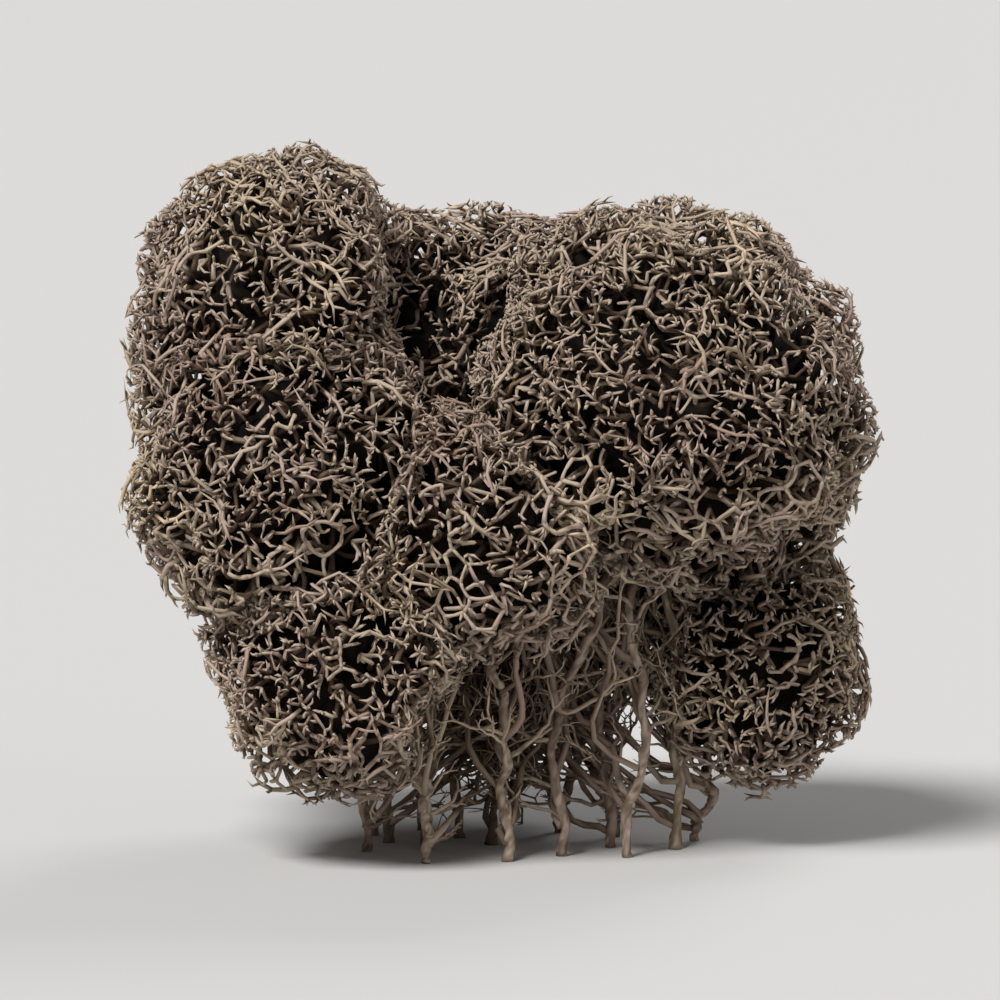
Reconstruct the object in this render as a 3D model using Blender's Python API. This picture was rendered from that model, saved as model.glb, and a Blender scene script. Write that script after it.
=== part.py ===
"""A picked clump of reindeer moss, the branched lichen sold dried for decoration.

The clump is ten podetia, the lichen's bare forking stems, each with a dense rounded head of forked twigs.
They stand side by side on the cut ends of their stems and lean on one another.
Metres, +Z up. The origin is the cut foot of the clump's middle stem, on the surface it stands on.
"""

import bmesh
import bpy
import numpy as np
from mathutils import Matrix, Vector

MM = 0.001
SEED = 11
TINY = 1e-6

# Each podetium's head centre and head radius, and where the cut ends of its stems stand, in millimetres.
PODETIA = {
    "podetium_front_dome": ((15.5, -4.5, 40.8), 20.3, ((6.5, -7.5), (12.5, -8.5), (17.0, -3.0), (11.0, -2.0))),
    "podetium_middle": ((-1.0, -11.0, 29.5), 13.5, ((1.5, -11.0),)),
    "podetium_upper_left": ((-18.5, -3.0, 50.2), 15.3, ((-6.0, -3.0), (-9.5, 1.5))),
    "podetium_mid_left": ((-18.0, -8.5, 35.0), 16.0, ((-11.5, -4.5),)),
    "podetium_low_left": ((-13.0, -12.0, 17.5), 13.0, ((-6.0, -12.5),)),
    "podetium_top": ((-2.0, 7.5, 44.0), 16.0, ((0.0, 0.0), (-3.0, 4.5))),
    "podetium_right_back": ((16.5, 11.0, 31.0), 17.5, ((11.5, 5.5), (6.5, 8.5))),
    "podetium_left_back": ((-15.0, 11.0, 31.0), 17.0, ((-11.0, 6.5), (-6.5, 10.0))),
    "podetium_low_back": ((1.0, 16.0, 18.0), 14.0, ((1.5, 13.0),)),
    "podetium_low_right": ((23.5, 2.0, 16.5), 12.5, ((19.0, 2.5),)),
}

HUB = np.array((0.0, 1.0, 16.0)) * MM  # the inside point of the clump that every head faces away from
HEAD_FLAT_FROM = 0.15  # cosine, from the outward axis, where a head starts to shrink towards its stems
HEAD_BACK_SHARE = 0.82  # radius of a head on the side of its stems, as a share of its full radius
LOBE_SPACING = 11.0 * MM  # between the middles of the rounded lobes that cover a head
LOBE_SCATTER = 0.2  # how unevenly the lobes lie, from 0 for evenly
CREASE_DEPTH = 0.13  # of a crease half way between two lobes, as a share of the head's radius
CREASE_REACH = 1.3  # a crease deepens out to this many times that half way
GAP = 0.3 * MM  # clear space kept between neighbouring podetia
FLOOR_GAP = 2.0 * MM  # between the lowest branches and the surface that the stems stand on

CORE_SHARE = 0.66  # how far the corners of a head's matted inside stand out, as a share of its reach
POINT_SHARE = (0.78, 0.9)  # how far the points between those corners stand out
CORE_SPACING = 5.4 * MM  # between neighbouring corners of the inside, were it as large as the head
FREE_SHARE = 0.68  # a head pressed further in than this by its neighbours has no twigs there
REACH_STEPS = 40  # places on a line out of a head at which it is kept off a neighbour's stem
SIGHT_COUNT = 900  # directions in which a head's reach is found once for all
SIGHT_ANGLE = 0.15  # a branch heeds a neighbour's head as far as it reaches within this angle, in radians

STEM_RADIUS = 0.8 * MM
STEM_TOP_SHARE = 0.8  # a stem's radius in its head, as a share of its radius lower down
FOOT_RADIUS = 1.2 * MM  # of the flat cut end, a little spread by the cut
FOOT_HEIGHT = 1.6 * MM  # over which a stem narrows from its cut end
STEM_KNEE_SHARE = 0.5  # a stem rises straight at first, towards this share of its head's height
STEM_SAMPLES = 60  # points along a stem's course
STEM_POINTS = 7  # of those that its faces follow
BRANCH_SAMPLES = 16  # points at which a branch is kept clear of its neighbours
TWIG_SAMPLES = 5  # points at which a head's twig is kept clear of the stems below it
STEM_WAVE = 1.6 * MM  # how far a stem bends out of its plain arc

LIMB_RADIUS = 0.75 * MM
LIMB_TOP_SHARE = 0.75
LIMB_HEIGHTS = (0.2, 0.38)  # where limbs leave a stem, as shares of its length
LIMB_SCATTER = 0.9  # how far limbs spread over the underside of the head, from 0 for not at all
LIMB_END_SHARE = 0.5  # where a limb ends inside the head, as a share of the head's reach

TWIG_RADIUS = 0.6 * MM
TWIG_SPACING = 7.6 * MM  # between neighbouring twigs on a head
TWIG_FORK_SHARE = 0.85  # where a head's twig forks, as a share of the head's reach
TWIG_SPREAD = 3.2 * MM  # sideways reach of a twig's three tips from its middle
SPREAD_SHARE = (0.7, 1.2)  # least and most of that spread
TIP_SHARE = (0.97, 1.0)  # how far a head's tips stand out, as a share of its reach there
TIP_LEAST_SHARE = 0.8  # a twig with a tip that would be stopped nearer in than this is left out
ROOT_SHARE = 0.3  # where a head's twigs are rooted, as a share of the head's reach
FORK_SHARE = 0.9  # a twig's radius at its fork, as a share of its radius at the root
CROTCH_SHARE = 0.4  # how high the middle of the fork stands, as a share of the same

SIDE_TWIG_HEIGHTS = (0.16, 0.3, 0.45)  # where they leave a stem, as shares of its length
SIDE_TWIG_RISE = 0.8  # how far they lean up along the stem, from 0 for square to it
SIDE_TWIG_LENGTH = 5.0 * MM
SIDE_TWIG_FORK_SHARE = 0.5  # where a side twig forks, as a share of its length
SIDE_TWIG_SPREAD = 2.4 * MM

MOSS_COLOUR = (0.235, 0.190, 0.150, 1.0)
MOSS_ROUGHNESS = 0.95


def unit(vectors):
    """The vectors at length one."""
    return vectors / np.linalg.norm(vectors, axis=-1, keepdims=True)


def line(start, end, count):
    """Evenly spaced points from start to end."""
    return start + (end - start) * np.linspace(0.0, 1.0, count)[:, None]


def ball_directions(count):
    """Directions spread evenly over a ball, each a golden angle on from the one above it."""
    step = np.arange(count) + 0.5
    height = 1.0 - 2.0 * step / count
    turn = np.pi * (3.0 - 5.0**0.5) * step
    ring = np.sqrt(1.0 - height**2)
    return np.stack([ring * np.cos(turn), ring * np.sin(turn), height], axis=1)


SIGHTS = ball_directions(SIGHT_COUNT)


class Podetium:
    """Where one podetium's head, stems and branches are."""

    def __init__(self, name, centre, radius, feet, draw):
        self.name = name
        self.centre = np.array(centre) * MM
        self.radius = radius * MM
        self.axis = unit(self.centre - HUB)
        lobes = int(4.0 * np.pi * self.radius**2 / LOBE_SPACING**2)
        scatter = draw.normal(scale=LOBE_SCATTER / lobes**0.5, size=(lobes, 3))
        self.lobes = unit(ball_directions(lobes) + scatter)
        self.stems = [self.stem_route(np.array((*foot, 0.0)) * MM, draw) for foot in feet]
        self.branches = []  # (points, radius) of each limb and side twig, once it is placed
        self.sight_reach = None

    def stem_route(self, foot, draw):
        """Points from a foot, straight up at first, then in an arc to the head's centre, with a slow wave."""
        knee = foot + np.array((0.0, 0.0, STEM_KNEE_SHARE * self.centre[2]))
        share = np.linspace(0.0, 1.0, STEM_SAMPLES)[:, None]
        arc = (1 - share) ** 2 * foot + 2 * share * (1 - share) * knee + share**2 * self.centre
        side = unit(np.cross(self.centre - foot, draw.normal(size=3)))
        wave = STEM_WAVE * np.sin(2.0 * np.pi * share) * np.sin(np.pi * share)
        return arc + wave * side

    def outline(self, directions):
        """The head's radius in each direction before its neighbours are heeded.

        A ball that is smaller to its back, lowered by the square of the angle from the nearest lobe's middle.
        """
        facing = directions @ self.axis
        back = np.clip((HEAD_FLAT_FROM - facing) / (1.0 + HEAD_FLAT_FROM), 0.0, 1.0)
        shape = 1.0 - (1.0 - HEAD_BACK_SHARE) * back * back * (3.0 - 2.0 * back)
        off_lobe = np.arccos(np.clip((directions @ self.lobes.T).max(axis=1), -1.0, 1.0))
        crease = np.minimum(off_lobe * 2.0 * self.radius / LOBE_SPACING, CREASE_REACH) ** 2
        return self.radius * shape * (1.0 - CREASE_DEPTH * crease)

    def reach(self, directions, others):
        """How far the head goes in each direction: to its outline, or short of a neighbour's head or stem."""
        far = self.outline(directions)
        for other in others:
            between = other.centre - self.centre
            apart = np.linalg.norm(between)
            wall = (apart**2 + self.radius**2 - other.radius**2) / (2.0 * apart) - 0.5 * GAP
            towards = directions @ (between / apart)
            far = np.where(towards > 0.0, np.minimum(far, wall / np.maximum(towards, TINY)), far)
        foreign = np.concatenate([route for other in others for route in other.stems])
        steps = np.linspace(0.0, 1.0, REACH_STEPS)
        along = self.centre + directions[:, None, :] * (far[:, None] * steps)[..., None]
        near = np.linalg.norm(along[:, :, None, :] - foreign, axis=-1).min(axis=-1)
        blocked = near < STEM_RADIUS + TWIG_RADIUS + GAP
        first = np.where(blocked.any(axis=1), np.argmax(blocked, axis=1) - 1, len(steps) - 1)
        return far * steps[np.maximum(first, 0)]

    def under_own_stems(self, directions, reach):
        """Whether a twig in each direction would run into one of the podetium's own stems or branches."""
        own = np.concatenate([*self.stems, *(points for points, _ in self.branches)])
        steps = np.linspace(CORE_SHARE, 1.0, TWIG_SAMPLES)
        along = self.centre + directions[:, None, :] * (reach[:, None] * steps)[..., None]
        near = np.linalg.norm(along[:, :, None] - own, axis=-1).min(axis=(1, 2))
        return near < STEM_RADIUS + 2.0 * TWIG_RADIUS

    def fills(self, points, margin):
        """Whether any of the points is inside the head, or within the margin outside it."""
        away = points - self.centre
        near = unit(away) @ SIGHTS.T > np.cos(SIGHT_ANGLE)
        reach = np.where(near, self.sight_reach, 0.0).max(axis=1)
        return (np.linalg.norm(away, axis=1) < reach + margin).any()

    def has_room(self, start, end, radius, others):
        """Whether a round branch from start to end stays clear of the floor and of every other podetium."""
        points = line(start, end, BRANCH_SAMPLES)
        if points[:, 2].min() < radius + FLOOR_GAP:
            return False
        for other in others:
            if other.fills(points, radius + GAP):
                return False
            for route, thickness in [(route, STEM_RADIUS) for route in other.stems] + other.branches:
                if np.linalg.norm(points[:, None] - route, axis=-1).min() < radius + thickness + GAP:
                    return False
        return True


def forked_twig(root, fork, tips, radius):
    """A three-sided stalk from root to fork, each third of its end then drawn out to a tip."""
    shape = bmesh.new()
    along = Vector(fork - root)
    up = along.normalized()
    away = Vector(tips[0] - fork)
    back = -(away - away.project(up)).normalized()  # one corner lies straight opposite the first tip
    turned = Matrix((back.cross(up), back, up)).transposed().to_4x4()
    middle = Matrix.Translation(Vector(root) + along / 2.0)
    bmesh.ops.create_cone(
        shape,
        cap_ends=True,
        segments=3,
        radius1=radius,
        radius2=FORK_SHARE * radius,
        depth=along.length,
        matrix=middle @ turned,
    )
    end = max(shape.faces, key=lambda face: up.dot(face.calc_center_median()))
    thirds = bmesh.ops.poke(shape, faces=[end], offset=CROTCH_SHARE * radius)["faces"]
    for third in bmesh.ops.extrude_discrete_faces(shape, faces=thirds)["faces"]:
        off = third.calc_center_median() - Vector(fork)
        tip = max(tips, key=lambda tip: off.dot(Vector(tip - fork)))
        bmesh.ops.pointmerge(shape, verts=third.verts, merge_co=tip)
    mesh = bpy.data.meshes.new("twig")
    shape.to_mesh(mesh)
    shape.free()
    return bpy.data.objects.new("twig", mesh)


def limb(start, end):
    """A square tapering limb, as a closed mesh."""
    shape = bmesh.new()
    along = Vector(end - start)
    turned = along.to_track_quat("Z", "Y").to_matrix().to_4x4()
    bmesh.ops.create_cone(
        shape,
        cap_ends=True,
        segments=4,
        radius1=LIMB_RADIUS,
        radius2=LIMB_TOP_SHARE * LIMB_RADIUS,
        depth=along.length,
        matrix=Matrix.Translation(Vector(start) + along / 2.0) @ turned,
    )
    mesh = bpy.data.meshes.new("limb")
    shape.to_mesh(mesh)
    shape.free()
    return bpy.data.objects.new("limb", mesh)


def stem(route):
    """A round tapering stem with a flat cut foot, as a closed mesh."""
    curve = bpy.data.curves.new("stem", "CURVE")
    curve.dimensions = "3D"
    curve.bevel_depth = STEM_RADIUS
    curve.bevel_resolution = 1
    curve.use_fill_caps = True
    spline = curve.splines.new("POLY")
    foot = route[0]
    shown = route[np.linspace(0, len(route) - 1, STEM_POINTS).astype(int)][1:]
    points = [foot, foot + np.array((0.0, 0.0, FOOT_HEIGHT)), *shown]
    spline.points.add(len(points) - 1)
    for index, (place, point) in enumerate(zip(spline.points, points)):
        share = index / (len(points) - 1)
        place.co = (*point, 1.0)
        place.radius = FOOT_RADIUS / STEM_RADIUS if index == 0 else 1.0 - (1.0 - STEM_TOP_SHARE) * share
    made = bpy.data.objects.new("stem", curve)
    bpy.context.scene.collection.objects.link(made)
    graph = bpy.context.evaluated_depsgraph_get()
    mesh = bpy.data.meshes.new_from_object(made.evaluated_get(graph))
    bpy.data.objects.remove(made)
    welded = bmesh.new()
    welded.from_mesh(mesh)
    bmesh.ops.remove_doubles(welded, verts=welded.verts, dist=TINY)
    bmesh.ops.recalc_face_normals(welded, faces=welded.faces)
    welded.to_mesh(mesh)
    welded.free()
    return bpy.data.objects.new("stem", mesh)


def core(podetium, others, draw):
    """The matted inside of a head, and the directions of the forked twigs to stand on it.

    A ball of even triangles, its corners drawn in to a share of the least reach near them. Each triangle
    that no neighbour presses has a point raised on its middle, or else stays flat for a twig.
    """
    shape = bmesh.new()
    corners = ball_directions(int(4.0 * np.pi * podetium.radius**2 / CORE_SPACING**2))
    for corner in corners:
        shape.verts.new(corner)
    bmesh.ops.convex_hull(shape, input=shape.verts[:])
    middles = unit(np.array([face.calc_center_median() for face in shape.faces]))
    reach = podetium.reach(middles, others)
    free = (reach > FREE_SHARE * podetium.outline(middles)) & ~podetium.under_own_stems(middles, reach)
    twigs = ball_directions(int(4.0 * np.pi * podetium.radius**2 / TWIG_SPACING**2))
    carries_twig = np.zeros(len(middles), bool)
    carries_twig[np.argmax(twigs @ middles.T, axis=1)] = True
    for vertex, corner in zip(shape.verts, corners):
        near = SIGHTS @ corner > np.cos(CORE_SPACING / podetium.radius)
        vertex.co = podetium.centre + corner * CORE_SHARE * podetium.sight_reach[near].min()
    far = reach * draw.uniform(*POINT_SHARE, len(reach))
    points = podetium.centre + middles * far[:, None]
    raised = free & ~carries_twig
    for face, point in [(face, point) for face, point, up in zip(shape.faces, points, raised) if up]:
        bmesh.ops.poke(shape, faces=[face])["verts"][0].co = point
    bmesh.ops.recalc_face_normals(shape, faces=shape.faces)
    mesh = bpy.data.meshes.new(podetium.name)
    shape.to_mesh(mesh)
    shape.free()
    return bpy.data.objects.new(podetium.name, mesh), middles[free & carries_twig]


def fork_tips(middle, along, spread, draw):
    """Three points evenly turned round middle, each a drawn share of the spread off it."""
    side = unit(np.cross(along, draw.normal(size=3)))
    turns = draw.uniform(0.0, 2.0 * np.pi) + np.arange(3) * 2.0 * np.pi / 3.0
    off = spread * draw.uniform(*SPREAD_SHARE, 3)
    across = np.cross(along, side)
    return middle + (off * np.cos(turns))[:, None] * side + (off * np.sin(turns))[:, None] * across


def head_twigs(podetium, others, directions, draw):
    """A forked twig in each direction, rooted in the head's inside, with its tips on the head's outline."""
    made = []
    for direction, reach in zip(directions, podetium.reach(directions, others)):
        root = podetium.centre + direction * ROOT_SHARE * reach
        fork = podetium.centre + direction * TWIG_FORK_SHARE * reach
        tips = unit(fork_tips(direction * reach, direction, TWIG_SPREAD, draw))
        tip_reach = podetium.reach(tips, others) * draw.uniform(*TIP_SHARE, 3)
        if tip_reach.min() < TIP_LEAST_SHARE * reach:
            continue
        made.append(forked_twig(root, fork, podetium.centre + tips * tip_reach[:, None], TWIG_RADIUS))
    return made


def limbs(podetium, others, draw):
    """Limbs that leave each stem part way up and spread into the underside of the head."""
    made = []
    for route in podetium.stems:
        for height in LIMB_HEIGHTS:
            start = route[int(STEM_SAMPLES * height)]
            towards = unit(unit(start - podetium.centre) + LIMB_SCATTER * unit(draw.normal(size=3)))
            reach = podetium.reach(towards[None], others)[0]
            end = podetium.centre + towards * LIMB_END_SHARE * reach
            if podetium.has_room(start, end, LIMB_RADIUS, others):
                podetium.branches.append((line(start, end, BRANCH_SAMPLES), LIMB_RADIUS))
                made.append(limb(start, end))
    return made


def side_twigs(podetium, others, draw):
    """Short forked twigs along the bare part of each stem, pointing up and out."""
    made = []
    for route in podetium.stems:
        for height in SIDE_TWIG_HEIGHTS:
            index = int(STEM_SAMPLES * height)
            root = route[index]
            up = unit(route[index + 1] - root)
            towards = unit(SIDE_TWIG_RISE * up + unit(np.cross(up, draw.normal(size=3))))
            fork = root + SIDE_TWIG_FORK_SHARE * SIDE_TWIG_LENGTH * towards
            tips = fork_tips(root + SIDE_TWIG_LENGTH * towards, towards, SIDE_TWIG_SPREAD, draw)
            lines = [(root, fork), *((fork, tip) for tip in tips)]
            if all(podetium.has_room(start, end, TWIG_RADIUS, others) for start, end in lines):
                for start, end in lines:
                    podetium.branches.append((line(start, end, BRANCH_SAMPLES), TWIG_RADIUS))
                made.append(forked_twig(root, fork, tips, TWIG_RADIUS))
    return made


def keep_largest(mesh):
    """Keeps only the largest closed surface, which drops loose scraps and fills sealed hollows."""
    shape = bmesh.new()
    shape.from_mesh(mesh)
    unseen = set(shape.verts)
    surfaces = []
    while unseen:
        edge_of_search = [unseen.pop()]
        surface = list(edge_of_search)
        while edge_of_search:
            vertex = edge_of_search.pop()
            found = {edge.other_vert(vertex) for edge in vertex.link_edges} & unseen
            unseen -= found
            surface += found
            edge_of_search += found
        surfaces.append(surface)
    for surface in sorted(surfaces, key=len)[:-1]:
        bmesh.ops.delete(shape, geom=surface, context="VERTS")
    shape.to_mesh(mesh)
    shape.free()


def fused(body, pieces, home):
    """Joins the pieces to the body in one closed solid, and removes them."""
    joined = bpy.data.collections.new("joined")
    bpy.context.scene.collection.children.link(joined)
    home.objects.link(body)
    for piece in pieces:
        joined.objects.link(piece)
    union = body.modifiers.new("union", "BOOLEAN")
    union.operation = "UNION"
    union.operand_type = "COLLECTION"
    union.collection = joined
    union.solver = "MANIFOLD"
    graph = bpy.context.evaluated_depsgraph_get()
    mesh = bpy.data.meshes.new_from_object(body.evaluated_get(graph))
    keep_largest(mesh)
    body.modifiers.clear()
    body.data = mesh
    for piece in pieces:
        bpy.data.objects.remove(piece)
    bpy.data.collections.remove(joined)
    return body


def moss_material(name):
    """The dull grey brown of the dried and dyed lichen."""
    material = bpy.data.materials.new(name)
    material.use_nodes = True
    shader = material.node_tree.nodes["Principled BSDF"]
    shader.inputs["Base Color"].default_value = MOSS_COLOUR
    shader.inputs["Roughness"].default_value = MOSS_ROUGHNESS
    shader.inputs["Metallic"].default_value = 0.0
    return material


def main():
    for item in list(bpy.data.objects):
        bpy.data.objects.remove(item)
    draw = np.random.default_rng(SEED)
    home = bpy.data.collections.new("reindeer_moss_clump")
    bpy.context.scene.collection.children.link(home)
    clump = [Podetium(name, *sizes, draw) for name, sizes in PODETIA.items()]
    for podetium in clump:
        podetium.sight_reach = podetium.reach(SIGHTS, [other for other in clump if other is not podetium])
    for podetium in clump:
        others = [other for other in clump if other is not podetium]
        pieces = [stem(route) for route in podetium.stems]
        pieces += limbs(podetium, others, draw)
        pieces += side_twigs(podetium, others, draw)
        inside, directions = core(podetium, others, draw)
        pieces += head_twigs(podetium, others, directions, draw)
        body = fused(inside, pieces, home)
        body.data.materials.clear()
        body.data.materials.append(moss_material(podetium.name))


main()
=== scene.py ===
"""A picked clump of dried reindeer moss on its cut stems: its looks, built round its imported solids."""

import bmesh
import bpy
import numpy as np
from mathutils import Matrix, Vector


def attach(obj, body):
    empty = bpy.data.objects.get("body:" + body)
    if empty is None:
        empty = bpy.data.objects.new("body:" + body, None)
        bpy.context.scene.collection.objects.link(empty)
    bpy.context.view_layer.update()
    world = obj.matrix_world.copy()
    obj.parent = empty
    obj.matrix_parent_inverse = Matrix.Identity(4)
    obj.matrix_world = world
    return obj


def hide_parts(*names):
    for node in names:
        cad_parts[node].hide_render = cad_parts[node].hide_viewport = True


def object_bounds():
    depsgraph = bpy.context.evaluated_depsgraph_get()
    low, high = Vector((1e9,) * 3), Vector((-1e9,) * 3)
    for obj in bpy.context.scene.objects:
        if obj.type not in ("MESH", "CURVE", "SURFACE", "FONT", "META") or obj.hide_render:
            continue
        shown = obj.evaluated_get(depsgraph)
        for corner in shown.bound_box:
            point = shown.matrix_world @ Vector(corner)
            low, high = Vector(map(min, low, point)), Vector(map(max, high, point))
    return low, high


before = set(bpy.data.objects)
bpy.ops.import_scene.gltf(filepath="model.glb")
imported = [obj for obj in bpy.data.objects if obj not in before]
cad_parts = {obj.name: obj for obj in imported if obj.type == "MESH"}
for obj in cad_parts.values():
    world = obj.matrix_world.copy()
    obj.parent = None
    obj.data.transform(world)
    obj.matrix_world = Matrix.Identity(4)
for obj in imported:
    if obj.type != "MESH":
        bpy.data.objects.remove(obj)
cad_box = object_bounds()

# The clump: ten podetia of a branched lichen, picked side by side and not grown together. Each is one to
# four bare stems with one rounded head. The heads press on one another, so each ends at the flat wall
# where the two would cross.
MM = 0.001
SEED = 11
# Each podetium's head centre and head radius, and where its stems' cut ends stand, in millimetres.
PODETIA = {
    "front_dome": ((15.5, -4.5, 40.8), 20.3, ((6.5, -7.5), (12.5, -8.5), (17.0, -3.0), (11.0, -2.0))),
    "middle": ((-1.0, -11.0, 29.5), 13.5, ((1.5, -11.0),)),
    "upper_left": ((-18.5, -3.0, 50.2), 15.3, ((-6.0, -3.0), (-9.5, 1.5))),
    "mid_left": ((-18.0, -8.5, 35.0), 16.0, ((-11.5, -4.5),)),
    "low_left": ((-13.0, -12.0, 17.5), 13.0, ((-6.0, -12.5),)),
    "top": ((-2.0, 7.5, 44.0), 16.0, ((0.0, 0.0), (-3.0, 4.5))),
    "right_back": ((16.5, 11.0, 31.0), 17.5, ((11.5, 5.5), (6.5, 8.5))),
    "left_back": ((-15.0, 11.0, 31.0), 17.0, ((-11.0, 6.5), (-6.5, 10.0))),
    "low_back": ((1.0, 16.0, 18.0), 14.0, ((1.5, 13.0),)),
    "low_right": ((23.5, 2.0, 16.5), 12.5, ((19.0, 2.5),)),
}
HUB = np.array((0.0, 1.0, 16.0)) * MM  # the inside point of the clump that every head faces away from
HEAD_FLAT_FROM = 0.15  # cosine, from the outward axis, where a head starts to shrink towards its stems
HEAD_BACK_SHARE = 0.82  # radius of a head on the side of its stems, as a share of its full radius
LOBE_SPACING = 11.0 * MM  # between the middles of the rounded lobes that cover a head
LOBE_SCATTER = 0.2
CREASE_DEPTH = 0.08  # of a crease half way between two lobes, as a share of the head's radius
CREASE_REACH = 1.3  # half spacings from a lobe's middle where a crease stops getting deeper
WALL_GAP = 0.15 * MM
WALL_SLANT = 0.01  # least cosine, from the way to another head, of a direction that their wall cuts
STEM_SAMPLES = 60
STEM_KNEE_SHARE = 0.5  # a stem rises straight at first, towards this share of its head's height
STEM_WAVE = 1.6 * MM  # how far a stem bends out of its plain arc

centres = np.array([centre for centre, _, _ in PODETIA.values()]) * MM
head_radii = np.array([radius for _, radius, _ in PODETIA.values()]) * MM


def unit(vectors):
    """The vectors at length one."""
    return vectors / np.maximum(np.linalg.norm(vectors, axis=-1, keepdims=True), 1e-12)


def ball_directions(count):
    """Directions spread evenly over a ball: even steps down, each a golden angle further round."""
    step = np.arange(count) + 0.5
    height = 1.0 - 2.0 * step / count
    turn = np.pi * (3.0 - 5.0**0.5) * step
    ring = np.sqrt(1.0 - height**2)
    return np.stack([ring * np.cos(turn), ring * np.sin(turn), height], axis=1)


def stem_route(foot, centre, sideways):
    """A quadratic arc from the foot, straight up at first, to the head's centre, plus a slow wave."""
    knee = foot + np.array((0.0, 0.0, STEM_KNEE_SHARE * centre[2]))
    share = np.linspace(0.0, 1.0, STEM_SAMPLES)[:, None]
    arc = (1 - share) ** 2 * foot + 2 * share * (1 - share) * knee + share**2 * centre
    side = unit(np.cross(centre - foot, sideways))
    return arc + STEM_WAVE * np.sin(2.0 * np.pi * share) * np.sin(np.pi * share) * side


draw = np.random.default_rng(SEED)
head_axes = unit(centres - HUB)
head_lobes = []
stem_routes = []
for centre, radius, (_, _, feet) in zip(centres, head_radii, PODETIA.values()):
    lobes = int(4.0 * np.pi * radius**2 / LOBE_SPACING**2)
    scatter = draw.normal(scale=LOBE_SCATTER / lobes**0.5, size=(lobes, 3))
    head_lobes.append(unit(ball_directions(lobes) + scatter))
    feet = [np.array((*foot, 0.0)) * MM for foot in feet]
    stem_routes.append(np.array([stem_route(foot, centre, draw.normal(size=3)) for foot in feet]))


def outline(head, directions):
    """How far a head goes out: a ball that is smaller to its back and creased between its lobes.

    A crease deepens with the square of the angle from the middle of the nearest lobe.
    """
    facing = directions @ head_axes[head]
    back = np.clip((HEAD_FLAT_FROM - facing) / (1.0 + HEAD_FLAT_FROM), 0.0, 1.0)
    shape = 1.0 - (1.0 - HEAD_BACK_SHARE) * back * back * (3.0 - 2.0 * back)
    off_lobe = np.arccos(np.clip((directions @ head_lobes[head].T).max(axis=1), -1.0, 1.0))
    crease = np.minimum(off_lobe * 2.0 * head_radii[head] / LOBE_SPACING, CREASE_REACH) ** 2
    return head_radii[head] * shape * (1.0 - CREASE_DEPTH * crease)


def reach(head, directions):
    """The head's outline, cut off at the flat wall between it and each head that it presses on."""
    far = outline(head, directions)
    for other in range(len(centres)):
        if other == head:
            continue
        across = centres[other] - centres[head]
        apart = np.linalg.norm(across)
        wall = (apart**2 + head_radii[head] ** 2 - head_radii[other] ** 2) / (2.0 * apart) - WALL_GAP
        towards = directions @ (across / apart)
        cut = np.minimum(far, wall / np.maximum(towards, WALL_SLANT))
        far = np.where(towards > WALL_SLANT, cut, far)
    return far


# The stems: bare, springy, crooked stalks about a millimetre thick, cut off level at the foot. Every
# branch of the lichen, down to the finest twig, is made the same way, so the maker of branches is here.
STEM_RADIUS = 0.47 * MM
STEM_TOP_SHARE = 0.7  # its radius at its top, as a share of that at its foot
FOOT_FLARE = 0.2  # how much thicker a stem is at its cut end
FOOT_FLARE_LENGTH = 0.05  # as a share of the stem's length
STEM_RINGS = 72
STEM_SIDES = 8
STEM_KINKS = ((0.42 * MM, 5.0), (0.28 * MM, 9.0), (0.18 * MM, 17.0))  # size and half waves of each bend
STEM_KNOTS = 0.13  # how much a stem swells and thins along its length
STEM_KNOT_TURNS = 40.0  # radians of this swelling from foot to top
STEM_KNOT_START = 6.0  # and radians, at most, that it starts with
STEM_LUMPS = 0.09  # how unevenly thick it is besides, by chance at each ring
STEM_TONE = 0.82
STEM_FOOT_DARKER = 0.14
STEM_DARK_FROM = 0.95  # head radii from the head's centre where painted shade starts to darken a stem
STEM_DARKENING = 1.8  # how much darker that painted shade makes it a radius further in
# the darkest a stem's tone gets
LEAST_STEM_TONE = 0.05
INNER_SHADE = 0.6  # painted shade: tone of a bare branch in the clump's middle, as a share of an outer one's
OUTER_REACH = 12.0 * MM
BARK_ROUGHNESS = 0.1  # how unevenly thick a branch is, as a share of its radius
SCURF = 0.12  # how much a branch's tone changes from corner to corner, as a share of it
TONE_LIMITS = (0.005, 0.995)
TIP_PALER = 0.01
PATCH_SWING = 0.012  # how much a branch's patch changes round it, so that its UV faces have some width
# Waves of the colour's drift, as radians a millimetre along each axis and radians at the start.
PATCH_WAVES = ((0.31, 0.0, 0.12, 1.0), (0.0, -0.2, 0.27, 2.1), (0.5, 0.4, -0.43, 0.0))
PATCH_DRIFT = 0.11
PATCH_CHANCE = 0.15
PATCH_LIMITS = (0.03, 0.97)


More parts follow.
